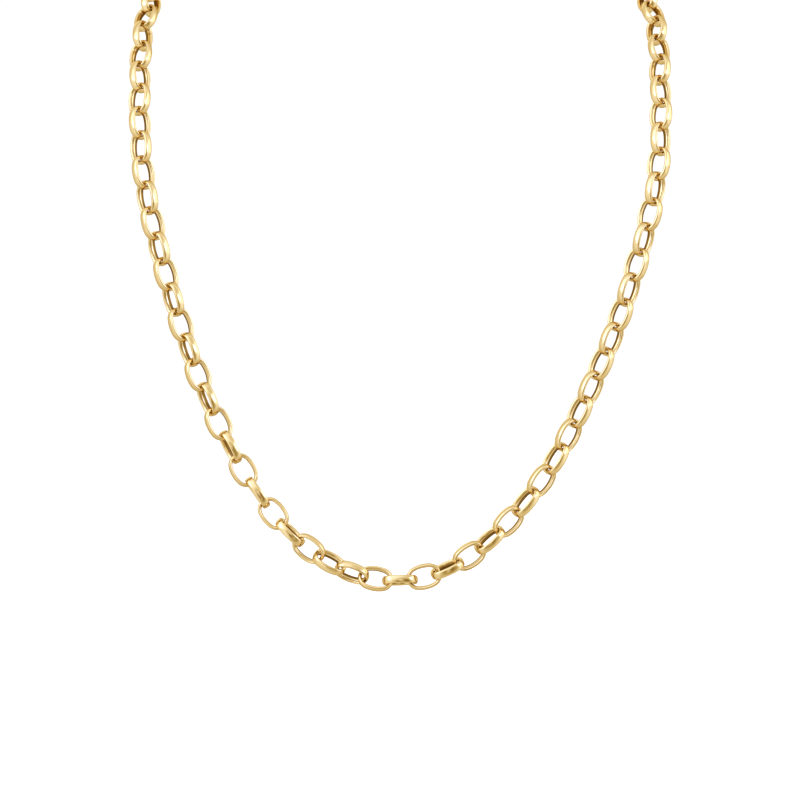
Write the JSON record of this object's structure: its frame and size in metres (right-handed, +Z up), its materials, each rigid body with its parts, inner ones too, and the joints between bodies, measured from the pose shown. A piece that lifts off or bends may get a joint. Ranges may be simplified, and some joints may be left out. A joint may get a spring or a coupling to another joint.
{
  "type": "rolo chain",
  "caption": "Worn rolo chain necklace of oval belcher links, hanging in a U, closed at the nape by a bolt ring clasp between two jump rings.",
  "frame": {"origin": "middle of the neck that the chain goes round, level with the collar line where the two front strands start to fall; the chain's lowest point is 110 mm below it and its nape 57 mm above it", "axes": "+Z up, front of the necklace faces -Y, +X to the right of someone who looks at its front"},
  "size_m": [0.1379, 0.0919, 0.1741],
  "materials": {
    "link_gold": "polished yellow gold",
    "clasp_gold": "polished yellow gold, a little worn",
    "ring_gold": "polished yellow gold wire"
  },
  "bodies": {
    "root": {"chain_left": "link_gold", "chain_right": "link_gold", "clasp": "clasp_gold", "jump_ring_left": "ring_gold", "jump_ring_right": "ring_gold"}
  },
  "joints": []
}
